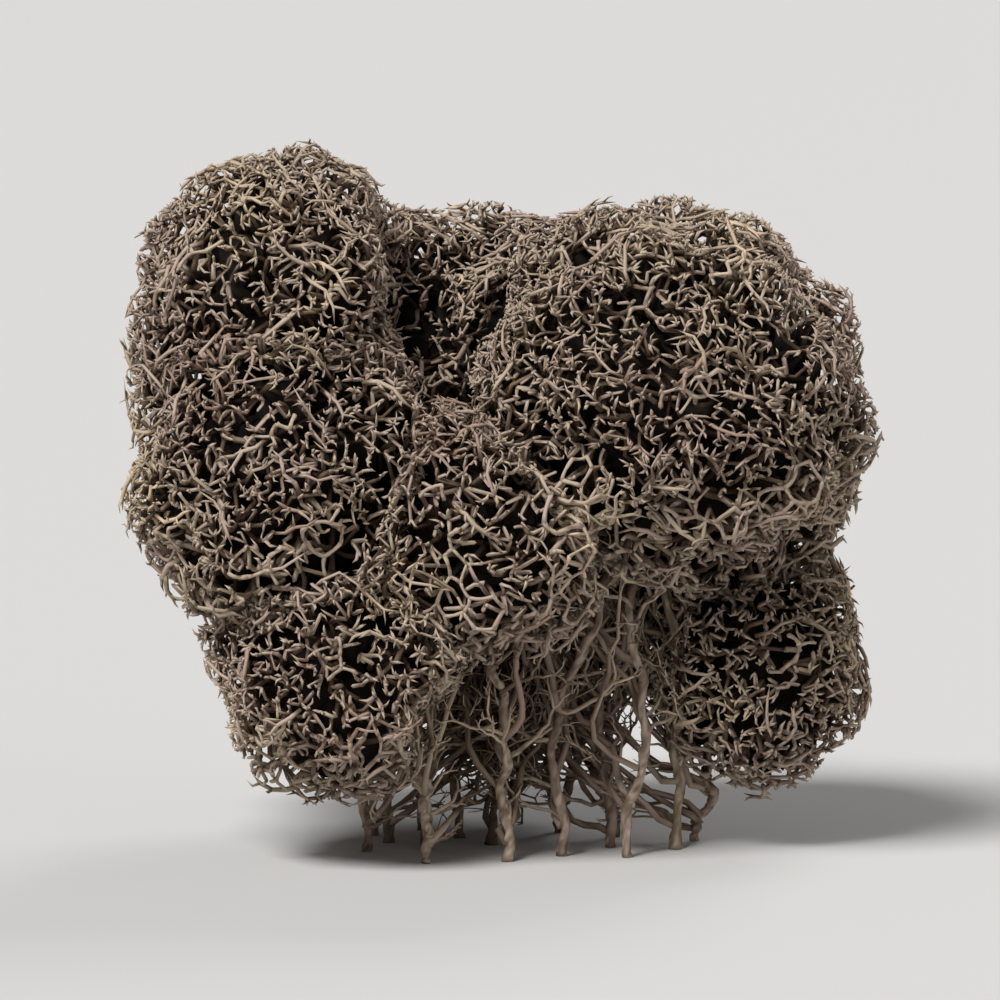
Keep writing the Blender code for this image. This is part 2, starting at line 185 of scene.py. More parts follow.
def tubes(course, thickness, tone, patch, sides, grow, pointed=False):
    """Many branches at once: rings of corners along their courses, flat at the start, pointed at the end.

    course is (branches, rings, 3). A ring's corner stands off the course by its thickness, a little
    unevenly, along a fixed sideways direction made square to the course and turned round it in equal
    steps. A pointed branch has no last ring, and runs out to the end of its course. The result is
    corners, four-cornered faces, three-cornered faces, and each corner's tone and patch.
    """
    along = unit(np.gradient(course, axis=1))
    last = course[:, -1:] + (0.0 if pointed else along[:, -1:] * thickness[:, -1:, None])
    if pointed:
        course, along, thickness, tone = course[:, :-1], along[:, :-1], thickness[:, :-1], tone[:, :-1]
    count, rings, _ = course.shape
    chord = unit(course[:, -1] - course[:, 0])
    side = unit(np.cross(chord, grow.normal(size=(count, 3))))[:, None, :]
    side = unit(side - (side * along).sum(axis=-1, keepdims=True) * along)
    across = np.cross(along, side)
    turn = np.arange(sides) * 2.0 * np.pi / sides
    uneven = 1.0 + BARK_ROUGHNESS * grow.normal(size=(count, rings, sides))
    off = (thickness[:, :, None] * uneven)[..., None]
    ring = side[:, :, None] * np.cos(turn)[:, None] + across[:, :, None] * np.sin(turn)[:, None]
    corners = (course[:, :, None] + off * ring).reshape(count, rings * sides, 3)
    corners = np.concatenate([corners, last], axis=1)

    around = np.arange(sides)
    onward = (around + 1) % sides
    row = np.arange(rings - 1)[:, None] * sides
    quads = np.stack([row + around, row + onward, row + onward + sides, row + around + sides], axis=-1)
    top = (rings - 1) * sides
    inner = around[1:-1]
    start_cap = np.stack([0 * inner, inner + 1, inner], axis=-1)
    end_cap = np.stack([top + around, top + onward, np.full(sides, rings * sides)], axis=-1)
    base = (np.arange(count) * corners.shape[1])[:, None, None]
    quads = (quads.reshape(1, -1, 4) + base).reshape(-1, 4)
    triangles = (np.concatenate([start_cap, end_cap])[None] + base).reshape(-1, 3)

    tones = np.repeat(tone, sides, axis=1)
    tones = tones + SCURF * tones * grow.normal(size=tones.shape)
    tones = np.clip(np.concatenate([tones, tone[:, -1:] + TIP_PALER], axis=1), *TONE_LIMITS)
    patches = patch[:, None] + PATCH_SWING * np.cos(np.tile(turn, rings))
    patches = np.concatenate([patches, patch[:, None]], axis=1)
    marks = np.stack([tones, patches], axis=-1).reshape(-1, 2)
    return corners.reshape(-1, 3), quads, triangles, marks


def arcs(start, middle, end, rings):
    """Courses that set out towards middle: (1-t)^2 times start, 2t(1-t) times middle, t^2 times end."""
    t = np.linspace(0.0, 1.0, rings)[None, :, None]
    return (1 - t) ** 2 * start[:, None] + 2 * t * (1 - t) * middle[:, None] + t**2 * end[:, None]


def between(first, last, rings):
    """Even steps from first to last for each branch."""
    t = np.linspace(0.0, 1.0, rings)[None]
    return np.asarray(first)[..., None] * (1 - t) + np.asarray(last)[..., None] * t


def slow_waves(points, waves):
    """The sum of a few crossing sine waves, each given by its radians a millimetre and its start."""
    return sum(np.sin(points / MM @ np.array(turns) + start) for *turns, start in waves)


def patch_at(points, grow):
    """Each twig's place in the colour's drift over the clump: slow waves, and a little chance."""
    chance = PATCH_CHANCE * grow.normal(size=len(points))
    return np.clip(0.5 + PATCH_DRIFT * slow_waves(points, PATCH_WAVES) + chance, *PATCH_LIMITS)


def inner_shade(course):
    """Painted shade, from INNER_SHADE at the clump's upright middle line up to 1 at OUTER_REACH from it
    and beyond.
    """
    off = np.linalg.norm((course - HUB)[..., :2], axis=-1)
    return INNER_SHADE + (1.0 - INNER_SHADE) * np.clip(off / OUTER_REACH, 0.0, 1.0)


def stems(head, grow):
    """The podetium's stems: their routes with sines of three lengths across them.

    A stem thins evenly upwards, swells and thins in a wave on its way, and spreads a little at its cut
    end. Its tone falls towards its foot, and as painted shade inside the head and in the middle of the
    clump.
    """
    route = stem_routes[head]
    picked = np.linspace(0, STEM_SAMPLES - 1, STEM_RINGS)
    whole = picked.astype(int)
    part = (picked - whole)[None, :, None]
    course = route[:, whole] * (1 - part) + route[:, np.minimum(whole + 1, STEM_SAMPLES - 1)] * part
    share = np.linspace(0.0, 1.0, STEM_RINGS)[None]
    for size, bends in STEM_KINKS:
        phase = grow.uniform(0.0, 2.0 * np.pi, (len(route), 1, 2))
        wave = np.sin(bends * np.pi * share[..., None] + phase) * np.sin(np.pi * share[..., None]) ** 0.5
        course[..., :2] += size * wave
    flare = FOOT_FLARE * np.clip(1.0 - share / FOOT_FLARE_LENGTH, 0.0, 1.0) ** 2
    knot_start = grow.uniform(0.0, STEM_KNOT_START, (len(route), 1))
    knots = 1.0 + STEM_KNOTS * np.sin(share * STEM_KNOT_TURNS + knot_start)
    knots = knots + STEM_LUMPS * grow.normal(size=knots.shape)
    thickness = STEM_RADIUS * (1.0 + (STEM_TOP_SHARE - 1.0) * share) * knots * (1.0 + flare)
    out = np.linalg.norm(course - centres[head], axis=-1) / head_radii[head]
    tone = STEM_TONE - STEM_DARKENING * np.clip(STEM_DARK_FROM - out, 0.0, 1.0)
    tone = np.maximum((tone - STEM_FOOT_DARKER * (1.0 - share)) * inner_shade(course), LEAST_STEM_TONE)
    patch = patch_at(route[:, STEM_SAMPLES // 3], grow)
    corners, quads, triangles, marks = tubes(course, thickness, tone, patch, STEM_SIDES, grow)
    corners[:, 2] = np.maximum(corners[:, 2], 0.0)
    return corners, quads, triangles, marks


# The side branches of the bare stems: risers that part from a stem low down and climb beside it into its
# head, and short forked twigs that tangle with those of the next stem. Each fork is thinner and shorter
# than the last.

# Of each kind: the heights that it leaves a stem at, as shares of the stem; its first length and radius,
# in millimetres; how far it leans along the stem, from 0 for square to it; and the arms of each fork.
BRANCH_KINDS = (
    ((0.06, 0.13, 0.2, 0.28, 0.36), (6.0, 11.0), (0.3, 0.42), 2.2, (2, 2, 2, 2)),
    ((0.1, 0.17, 0.25, 0.33, 0.42, 0.5, 0.58), (2.0, 4.2), (0.2, 0.3), 0.5, (2, 2, 3)),
)
BRANCH_SHAPES = ((7, 5), (5, 4), (4, 4), (4, 3), (3, 3))  # rings and sides, by fork
BRANCH_JITTER = 0.04
BRANCH_LOWEST_SHARE = 0.03
BRANCH_TONES = (0.56, 0.86)
BRANCH_BENDS = (1.0, 2.6)  # half waves of each sideways bend
BRANCH_TIP_SHARE = 0.35
FORK_LENGTH_SHARE = 0.7
FORK_LENGTH_CHANCE = (0.7, 1.2)
FORK_RADIUS_SHARE = 0.76
FORK_ARM_SHARE = 0.95  # radius of an arm where it starts, as a share of its branch's end
FORK_PALER = 0.06
FORK_PALEST = 0.9
FORK_SPREAD = 0.65
FORK_LIFT = np.array((0.0, 0.0, 0.14))
CROOK = 0.16  # sideways bend of a branch, as a share of its length
INWARD = 0.3  # how far a branch bends to the middle of the clump
LOW_INWARD = 1.6  # and how much further it bends there close to the floor
LOW_HEIGHT = 11.0 * MM
LOWEST = 1.2 * MM


def side_branches(head, grow):
    """Branches from each stem, with their forks.

    A fork's arms point as their branch does, plus a sideways draw, a lift and a pull inwards. A branch's
    course bends sideways by two sines of unlike length, which are nothing at both its ends.
    """
    made = []
    route = stem_routes[head]
    for heights, lengths, radii, lean, arms_by_fork in BRANCH_KINDS:
        jitter = grow.uniform(-BRANCH_JITTER, BRANCH_JITTER, (len(route), len(heights)))
        index = (np.maximum(np.array(heights) + jitter, BRANCH_LOWEST_SHARE) * STEM_SAMPLES).astype(int)
        start = np.take_along_axis(route, index[..., None], axis=1).reshape(-1, 3)
        above = np.take_along_axis(route, index[..., None] + 1, axis=1).reshape(-1, 3)
        up = unit(above - start)
        heading = unit(lean * up + unit(np.cross(up, grow.normal(size=up.shape))))
        length = grow.uniform(*lengths, len(start)) * MM
        radius = grow.uniform(*radii, len(start)) * MM
        tone = grow.uniform(*BRANCH_TONES, len(start))
        for fork in range(len(arms_by_fork) + 1):
            last = fork == len(arms_by_fork)
            inwards = HUB - start
            inwards[:, 2] = 0.0
            low = np.clip(1.0 - start[:, 2:] / LOW_HEIGHT, 0.0, 1.0)
            heading = unit(heading + (INWARD + LOW_INWARD * low) * inwards / head_radii.max())
            end = start + heading * length[:, None]
            middle = start + heading * 0.5 * length[:, None]
            rings, sides = BRANCH_SHAPES[fork]
            t = np.linspace(0.0, 1.0, rings)[None, :, None]
            course = arcs(start, middle, end, rings)
            for bends in BRANCH_BENDS:
                bent = CROOK / bends * np.cross(heading, grow.normal(size=heading.shape))
                course += np.sin(bends * np.pi * t) * (1 - t) * (bent * length[:, None])[:, None]
            course[..., 2] = np.maximum(course[..., 2], LOWEST)
            end = course[:, -1].copy()
            end_radius = radius * (BRANCH_TIP_SHARE if last else FORK_RADIUS_SHARE)
            thickness = between(radius, end_radius, rings)
            end_tone = np.minimum(tone + FORK_PALER, FORK_PALEST)
            tones = between(tone, end_tone, rings) * inner_shade(course)
            made.append(tubes(course, thickness, tones, patch_at(end, grow), sides, grow))
            if last:
                break
            arms = arms_by_fork[fork]
            heading = np.repeat(unit(end - course[:, -2]), arms, axis=0)
            start = np.repeat(end, arms, axis=0)
            sideways = unit(np.cross(heading, grow.normal(size=heading.shape)))
            sideways[1::arms] = -sideways[::arms]
            heading = unit(heading + FORK_SPREAD * sideways + FORK_LIFT)
            length_chance = grow.uniform(*FORK_LENGTH_CHANCE, len(start))
            length = np.repeat(length * FORK_LENGTH_SHARE, arms) * length_chance
            radius = np.repeat(end_radius, arms) * FORK_ARM_SHARE
            tone = np.repeat(end_tone, arms)
    return made


# The heads: a stem's limbs fork in two over and over, ever finer, until their tips cover the head. Every
# fork opens wide and the last ones lie along the head's surface, so from outside the twigs make a net. In
# patches, and all over the undersides, the last twigs are missing, and the net has wider cells there.
TIP_SPACING = 0.885 * MM
LEVEL_RATIO = 1.46  # each further fork's spacing, as a share of that of the points it carries
# Of each level's points, tips first: how deep they lie and the twig's radius there, in millimetres, and
# its tone, which falls with depth, partly for older twigs and partly as painted shade of the head's
# inside.
LEVELS = (
    (0.0, 0.105, 0.95),
    (0.4, 0.165, 0.8),
    (1.0, 0.195, 0.52),
    (1.9, 0.215, 0.24),
    (3.2, 0.23, 0.1),
    (5.0, 0.3, 0.05),
    (7.6, 0.4, 0.03),
)
LEVEL_SPACINGS = TIP_SPACING * LEVEL_RATIO ** np.arange(len(LEVELS))
LEVEL_SHAPES = ((3, 3), (3, 3), (3, 4), (4, 4), (5, 5), (5, 5), (6, 6))  # rings and sides of its twigs
POINT_AREA = 0.866  # of a head's ball for each point of an even scatter, over its spacing squared
SIDE_SCATTER = 0.32  # of the forks and tips, sideways, as a share of their spacing
DEPTH_SCATTER = 0.25 * MM
DEEPEST_SHARE = 0.62  # no fork lies deeper than this share of the head's reach
STRAY = 0.3  # how far a twig may stray to a fork that isn't its nearest, as a share of their spacing
PAIRS_AT_ONCE = 2_000_000
PRESSED_SHARE = 0.82  # where a neighbour leaves a head less of its outline than this it has no twigs
BALL_SHARE = 0.93  # of a head's radius, for the ball that stands for it where heads meet or shade
SHADED_REACH = 6.0 * MM  # a tip that faces another head within this far is mostly left out
SHADED_TIPS = 0.3  # share of such tips that are left
MELD = 1.6 * MM  # how softly two heads run into each other where they touch
MELD_GAIN = 2.0  # and how far it moves their twigs out there, over that of a plain soft union
# The dark hollows between the heads, open to the front: middle, size and depth, in millimetres.
HOLLOWS = (
    ((-5.0, -5.0, 55.0), (5.0, 9.0, 10.5), 6.0),
    ((-13.5, -17.0, 42.0), (3.0, 6.0, 2.6), 3.0),
    ((29.0, -8.0, 27.5), (4.0, 9.0, 3.0), 3.0),
    ((-3.0, -16.0, 12.0), (3.0, 8.0, 6.0), 4.0),
)
# Waves of how open the net is, as radians a millimetre along each axis and radians at the start.
OPEN_WAVES = ((0.52, 0.31, 0.13, 0.4), (-0.22, 0.47, 0.45, 2.2), (0.36, -0.28, -0.5, 4.1))
WAVE_WEIGHT = 0.7
OPEN_BELOW = 2.6  # how much more open the net is where it faces down
OPEN_BELOW_FROM = 0.05
OPEN_LOW = 0.4  # and how much more low on the clump
LOW_FROM, LOW_TO = 42.0 * MM, 18.0 * MM
OPEN_BELT = ((9.0, -14.0, 31.0), (13.0, 14.0, 6.5), 2.4)  # the widest cells: middle, size, weight
OPEN_FROM, OPEN_TO = 0.45, 1.6  # sum of all these where the net starts to open and is fully open
OPEN_TIPS = (0.06, 0.45)  # share left, where it is fully open, of the tips and of the forks under them
OPEN_ENDS_FROM = 0.3  # how open it is where a fork shows that carries no tip
OPEN_RADIUS = 1.2  # how much thicker the twigs are where it is fully open
OPEN_PALER = (0.0, 0.0, 0.22, 0.28, 0.16, 0.05, 0.0)  # and how much paler the forks are, by level: less painted shade where the net is open
LIMBS_FROM = 0.55  # share of a stem's length where it starts to carry limbs
LIMB_RISE = 2.0 * MM  # how far a limb rises from its stem, at least, if it can
LIMB_RISE_WEIGHT = 2.0
LIMB_FLARE = 1.15
TWIG_ONWARD = 0.42  # how far a twig goes on the way its branch came, as a share of its length
TWIG_SWAY = 0.14  # how far sideways
TWIG_DIRECT = 0.1  # and how far straight towards its end
TWIG_RADIUS_CHANCE = (0.8, 1.22)
TWIG_START_SHARE = 0.96  # radius of a twig where it leaves its fork, as a share of the fork's
CURL = 0.35 * MM  # how far, at most, a tip ends to the side of its place
BLUNT = 0.7  # how far along a tip its point starts


def bell(places, middle, size):
    """A bell curve: e to minus the squared distance from the middle, counted in sizes along each axis."""
    off = (places / MM - np.array(middle)) / np.array(size)
    return np.exp(-(off**2).sum(axis=1))


def scattered(head, spacing, grow):
    """Directions spread over a head, about spacing apart at its radius, each off by a little chance."""
    radius = head_radii[head]
    count = int(4.0 * np.pi * radius**2 / (POINT_AREA * spacing**2))
    scatter = grow.normal(scale=SIDE_SCATTER * spacing / radius, size=(count, 3))
    return unit(ball_directions(count) + scatter)


def melded(places, directions):
    """Places moved outwards by how far they lie under a soft union of the heads' balls.

    The soft union of distances d is -k log of the sum of exp(-d / k). It differs from the plain one only
    near where two balls meet.
    """
    distance = np.linalg.norm(places[:, None] - centres[None], axis=-1) - BALL_SHARE * head_radii
    close = distance.min(axis=1, keepdims=True)
    extra = MELD * np.log(np.exp(-(distance - close) / MELD).sum(axis=1, keepdims=True))
    return places + MELD_GAIN * extra * directions


def hollowed(places):
    """How far each place is pressed in: the most of each hollow's depth times its bell curve."""
    pressed = np.zeros(len(places))
    for middle, size, depth in HOLLOWS:
        pressed = np.maximum(pressed, depth * MM * bell(places, middle, size))
    return pressed


def head_surface(head, directions):
    """Where the net lies in each direction, how far the head reaches, and whether it isn't pressed in."""
    far = reach(head, directions)
    places = melded(centres[head] + directions * far[:, None], directions)
    places -= directions * hollowed(places)[:, None]
    return places, far, far > PRESSED_SHARE * outline(head, directions)


def openness(places, directions):
    """From 0 for a close net to 1 for an open one: slow waves, the belt, and more where it faces down."""
    summed = OPEN_BELOW * np.clip(-directions[:, 2] - OPEN_BELOW_FROM, 0.0, 1.0)
    summed += OPEN_LOW * np.clip((LOW_FROM - places[:, 2]) / (LOW_FROM - LOW_TO), 0.0, 1.0)
    middle, size, weight = OPEN_BELT
    summed += weight * bell(places, middle, size) + WAVE_WEIGHT * slow_waves(places, OPEN_WAVES)
    return np.clip((summed - OPEN_FROM) / (OPEN_TO - OPEN_FROM), 0.0, 1.0)


def shaded(head, places, directions):
    """Whether a line on from each place runs within a short way into the ball of another head."""
    found = np.zeros(len(places), bool)
    for other in range(len(centres)):
        if other == head:
            continue
        from_other = places - centres[other]
        along = (from_other * directions).sum(axis=1)
        across = (from_other**2).sum(axis=1) - along**2
        inside = (BALL_SHARE * head_radii[other]) ** 2 - across
        distance = -along - np.sqrt(np.maximum(inside, 0.0))
        found |= (inside > 0.0) & (distance < SHADED_REACH) & (along < 0.0)
    return found


def nearest(points, others):
    """Which of the others is nearest to each point."""
    found = []
    for block in np.array_split(points, max(1, len(points) * len(others) // PAIRS_AT_ONCE)):
        found.append(((block[:, None] - others[None]) ** 2).sum(axis=-1).argmin(axis=1))
    return np.concatenate(found)


def fork_points(head, grow):
    """The places of each level's points, how open the net is there, and which of them end a twig.

    Each level is an even scatter out to the net, sparser and deeper than the one before.
    """
    places = []
    opened = []
    shown = []
    for level, (spacing, (depth, _, _)) in enumerate(zip(LEVEL_SPACINGS, LEVELS)):
        directions = scattered(head, spacing, grow)
        count = len(directions)
        surface_places, far, free = head_surface(head, directions)
        under = depth * MM + DEPTH_SCATTER * grow.random(count) * (1.0 + level)
        places.append(surface_places - directions * np.minimum(under, DEEPEST_SHARE * far)[:, None])
        opened.append(openness(surface_places, directions))
        shown.append(np.zeros(count, bool))
        if level < len(OPEN_TIPS):
            left = 1.0 - (1.0 - OPEN_TIPS[level]) * opened[level]
            left = np.where(shaded(head, surface_places, directions), SHADED_TIPS, left)
            shown[level] = free & (grow.random(count) < left)
            if level > 0:
                shown[level] &= opened[level] > OPEN_ENDS_FROM
    return places, opened, shown


def head_twigs(head, grow):
    """Every twig of a head, from its limbs out to its tips.

    Each point is joined to about the nearest fork one step further in, and the deepest ones to a stem. A
    twig leaves its fork the way the one below it arrived, and bends over to its end.
    """
    places, opened, shown = fork_points(head, grow)
    parents = []
    for level in range(len(LEVELS) - 1):
        astray = STRAY * LEVEL_SPACINGS[level + 1] * grow.normal(size=places[level].shape)
        parents.append(nearest(places[level] + astray, places[level + 1]))
        shown[level + 1][parents[level][shown[level]]] = True
    routes = stem_routes[head][:, int(LIMBS_FROM * STEM_SAMPLES) :].reshape(-1, 3)
    above = np.maximum(routes[None, :, 2] - places[-1][:, None, 2] + LIMB_RISE, 0.0)
    apart = np.linalg.norm(places[-1][:, None] - routes[None], axis=-1) + LIMB_RISE_WEIGHT * above
    parents.append(apart.argmin(axis=1))

    made = []
    below = routes
    arriving = np.broadcast_to(head_axes[head], routes.shape)
    below_radius, below_tone, below_paler = LIMB_FLARE * LEVELS[-1][1], LEVELS[-1][2], OPEN_PALER[-1]
    for level in reversed(range(len(LEVELS))):
        _, end_radius, end_tone = LEVELS[level]
        starts, ends = below[parents[level]], places[level]
        rings, sides = LEVEL_SHAPES[level]
        leaving = arriving[parents[level]]
        length = np.linalg.norm(ends - starts, axis=1, keepdims=True)
        sideways = unit(np.cross(leaving, grow.normal(size=leaving.shape)))
        if level == 0:
            ends = ends + CURL * sideways * grow.random(length.shape)
        middles = starts + (TWIG_ONWARD * leaving + TWIG_SWAY * sideways) * length
        middles += TWIG_DIRECT * (ends - starts)
        course = arcs(starts, middles, ends, rings)
        if level == 0:
            course[:, 1] = (1 - BLUNT) ** 2 * starts + 2 * BLUNT * (1 - BLUNT) * middles + BLUNT**2 * ends
        thicker = MM * (1.0 + (OPEN_RADIUS - 1.0) * opened[level])
        thicker = grow.uniform(*TWIG_RADIUS_CHANCE, len(ends)) * thicker
        thickness = between(below_radius * TWIG_START_SHARE * thicker, end_radius * thicker, rings)
        first_tone = below_tone + below_paler * opened[level]
        tone = between(first_tone, end_tone + OPEN_PALER[level] * opened[level], rings)
        patch = patch_at(ends, grow)
        kept = shown[level]
        pointed = level == 0
        made.append(tubes(course[kept], thickness[kept], tone[kept], patch[kept], sides, grow, pointed))
        below, arriving = places[level], unit(ends - middles)
        below_radius, below_tone, below_paler = end_radius, end_tone, OPEN_PALER[level]
    return made


# The round cells: where the net is open, the arms of neighbouring forks curve across to one another, and
# from outside they are a lace of round holes 2 to 4 mm wide. Every other crossing has a root down into
# the head.
CELL_SPACING = 2.7 * MM
CELL_FROM = 0.66  # how open the net is where the cells start
CELL_LOWEST = -0.55  # they stop where the head faces down more than this
CELL_DEPTHS = (0.1 * MM, 0.8 * MM)
ARM_RADIUS = 0.22 * MM
ARM_RADIUS_CHANCE = (0.8, 1.25)
ARM_WAIST = 0.72  # how thick an arm is halfway, as a share of its ends
ARM_SWAY = 0.12
ARM_BULGE = 0.25  # how far an arm bends outwards at most, as a share of its length
ARM_RINGS = 5
ARM_SIDES = 4
ROOT_EVERY = 2
ROOT_LENGTH = 2.6 * MM
ROOT_RADIUS = 0.9 * ARM_RADIUS
ROOT_SCATTER = 0.4 * MM
ROOT_BEND = 0.3 * MM
# from dark at a root's foot deep in the head to pale at its crossing, partly for older twig and partly as
# painted shade
ROOT_TONES = (0.15, 0.8)
ROOT_RINGS = 3
ROOT_SIDES = 3
PALE_TONE = 0.84  # of the twigs that lie outermost
PALE_TONE_CHANCE = 0.07


def crossings(middles):
    """Where the arms between scattered cells cross: the middle of each three neighbours, and their pairs.

    Three cells are neighbours where they are a face of the hull of all the middles, which lie on a ball.
    A pair is two crossings side by side.
    """
    hull = bpy.data.meshes.new("cells")
    hull.from_pydata(middles.tolist(), [], [])
    wrap = bmesh.new()
    wrap.from_mesh(hull)
    bmesh.ops.convex_hull(wrap, input=wrap.verts)
    bmesh.ops.triangulate(wrap, faces=wrap.faces)
    wrap.to_mesh(hull)
    wrap.free()
    cells = np.zeros(len(hull.loops), np.int32)
    edges = np.zeros(len(hull.loops), np.int32)
    hull.loops.foreach_get("vertex_index", cells)
    hull.loops.foreach_get("edge_index", edges)
    bpy.data.meshes.remove(hull)
    pairs = (np.argsort(edges, kind="stable") // 3).reshape(-1, 2)
    return unit(middles[cells.reshape(-1, 3)].mean(axis=1)), pairs


def round_cells(head, grow):
    """Arms from each crossing to the next round every cell, thick at their ends and bulging outwards."""
    outward, pairs = crossings(scattered(head, CELL_SPACING, grow))
    surface_places, _, free = head_surface(head, outward)
    shown = free & ~shaded(head, surface_places, outward) & (outward[:, 2] > CELL_LOWEST)
    shown &= openness(surface_places, outward) > CELL_FROM
    points = surface_places - outward * grow.uniform(*CELL_DEPTHS, (len(outward), 1))
    first, second = pairs[shown[pairs].all(axis=1)].T
    start, end = points[first], points[second]
    length = np.linalg.norm(end - start, axis=1, keepdims=True)
    bend = ARM_SWAY * grow.normal(size=length.shape) * np.cross(outward[first], end - start)
    bend += ARM_BULGE * grow.random(length.shape) * length * outward[first]
    course = arcs(start, 0.5 * (start + end) + bend, end, ARM_RINGS)
    waist = ARM_WAIST + (1.0 - ARM_WAIST) * np.abs(np.linspace(-1.0, 1.0, ARM_RINGS))
    thickness = ARM_RADIUS * waist * grow.uniform(*ARM_RADIUS_CHANCE, length.shape)
    tone = np.full(thickness.shape, PALE_TONE) + PALE_TONE_CHANCE * grow.normal(size=length.shape)
    made = [tubes(course, thickness, np.clip(tone, 0.0, 1.0), patch_at(start, grow), ARM_SIDES, grow)]

    rooted = np.flatnonzero(shown)[::ROOT_EVERY]
    points, outward = points[rooted], outward[rooted]
    foot = points - outward * ROOT_LENGTH + ROOT_SCATTER * grow.normal(size=points.shape)
    middle = 0.5 * (foot + points) + ROOT_BEND * grow.normal(size=points.shape)
    course = arcs(foot, middle, points, ROOT_RINGS)
    thickness = np.full((len(points), ROOT_RINGS), ROOT_RADIUS)
    tone = np.tile(np.linspace(*ROOT_TONES, ROOT_RINGS), (len(points), 1))
    made.append(tubes(course, thickness, tone, patch_at(points, grow), ROOT_SIDES, grow))
    return made


# The longest twigs: pale shoots that run on along the outside of the net for a few millimetres and fork
# as they go, each fork with one free prong.
SHOOT_AREA = 25.0 * MM**2  # of a head's ball for each shoot
SHOOT_STEP = (1.0 * MM, 1.6 * MM)
SHOOT_TURN = 0.75  # radians, at most, at each step
SHOOT_DEPTHS = (0.9, 0.35, 0.0, -0.1, -0.2)  # millimetres under the net's surface, step by step
SHOOT_RADII = (0.2, 0.19, 0.17, 0.15, 0.11)
SHOOT_RADIUS_CHANCE = (0.8, 1.2)
SHOOT_OPEN_RADIUS = 1.25  # how much thicker they are where the net is open
# tone of a shoot's first step, which lies deepest: partly older twig and partly painted shade
SHOOT_ROOT_TONE = 0.5
SHOOT_SIDES = 4
PRONG_LENGTH = (0.8 * MM, 1.7 * MM)
PRONG_TURN = 0.9  # radians that a prong turns off its shoot
PRONG_LIFT = 0.3
PRONG_SWAY = 0.2
PRONG_RADIUS_SHARE = 0.85  # of its shoot's radius
PRONG_TIP_SHARE = 0.6
PRONG_RINGS = 3
PRONG_SIDES = 3


def shoots(head, grow):
    """Shoots and their prongs. Each step goes on round the head and turns by a chance angle."""
    count = int(4.0 * np.pi * head_radii[head] ** 2 / SHOOT_AREA)
    direction = unit(grow.normal(size=(count, 3)))
    onward = unit(np.cross(direction, grow.normal(size=(count, 3))))
    course = []
    prongs = []
    shown = np.ones(count, bool)
    for depth in SHOOT_DEPTHS:
        surface_places, far, free = head_surface(head, direction)
        shown &= free & ~shaded(head, surface_places, direction)
        course.append(surface_places - direction * depth * MM)
        across = np.cross(direction, onward)
        side = grow.choice((-1.0, 1.0), (count, 1))
        prong = onward * np.cos(PRONG_TURN) + side * across * np.sin(PRONG_TURN)
        prongs.append(unit(prong + PRONG_LIFT * direction))
        angle = grow.uniform(-SHOOT_TURN, SHOOT_TURN, (count, 1))
        onward = onward * np.cos(angle) + across * np.sin(angle)
        step = grow.uniform(*SHOOT_STEP, (count, 1)) / far[:, None]
        direction, onward = unit(direction + onward * step), unit(onward - direction * step)
    course = np.stack(course, axis=1)[shown]
    halfway = course[:, len(SHOOT_DEPTHS) // 2]
    chance = grow.uniform(*SHOOT_RADIUS_CHANCE, (len(course), 1)) * MM
    thicker = 1.0 + (SHOOT_OPEN_RADIUS - 1.0) * openness(halfway, direction[shown])
    thickness = np.array(SHOOT_RADII) * chance * thicker[:, None]
    tone = np.full(thickness.shape, PALE_TONE) + PALE_TONE_CHANCE * grow.normal(size=(len(course), 1))
    tone[:, 0] = SHOOT_ROOT_TONE
    patch = patch_at(halfway, grow)
    made = [tubes(course, thickness, np.clip(tone, 0.0, 1.0), patch, SHOOT_SIDES, grow, True)]

    prongs = np.stack(prongs, axis=1)[shown, 1:-1]
    forks = prongs.shape[1]
    prongs = prongs.reshape(-1, 3)
    starts = course[:, 1:-1].reshape(-1, 3)
    length = grow.uniform(*PRONG_LENGTH, (len(starts), 1))
    ends = starts + prongs * length
    middles = starts + (0.5 * prongs + PRONG_SWAY * grow.normal(size=starts.shape)) * length
    course = arcs(starts, middles, ends, PRONG_RINGS)
    radius = PRONG_RADIUS_SHARE * thickness[:, 1:-1].ravel()
    thickness = between(radius, PRONG_TIP_SHARE * radius, PRONG_RINGS)
    tone = np.repeat(np.repeat(tone[:, 1], forks)[:, None], PRONG_RINGS, axis=1)
    made.append(tubes(course, thickness, tone, np.repeat(patch, forks), PRONG_SIDES, grow, True))
    return made


# The inside of a head: a rough, nearly black ball under the outer forks, painted shade that shows only as
# the dark behind the net.
SHADE_BALL_SHARE = 0.7  # of the head's outline
SHADE_BALL_LEAST = 0.2  # the least share that a hollow leaves of it
SHADE_BALL_ROUGHNESS = 0.11
# near black: painted shade inside the head
SHADE_BALL_TONE = 0.015
SHADE_BALL_PATCHES = (0.2, 0.8)
SHADE_BALL_ROWS = 26
SHADE_BALL_COLUMNS = 52


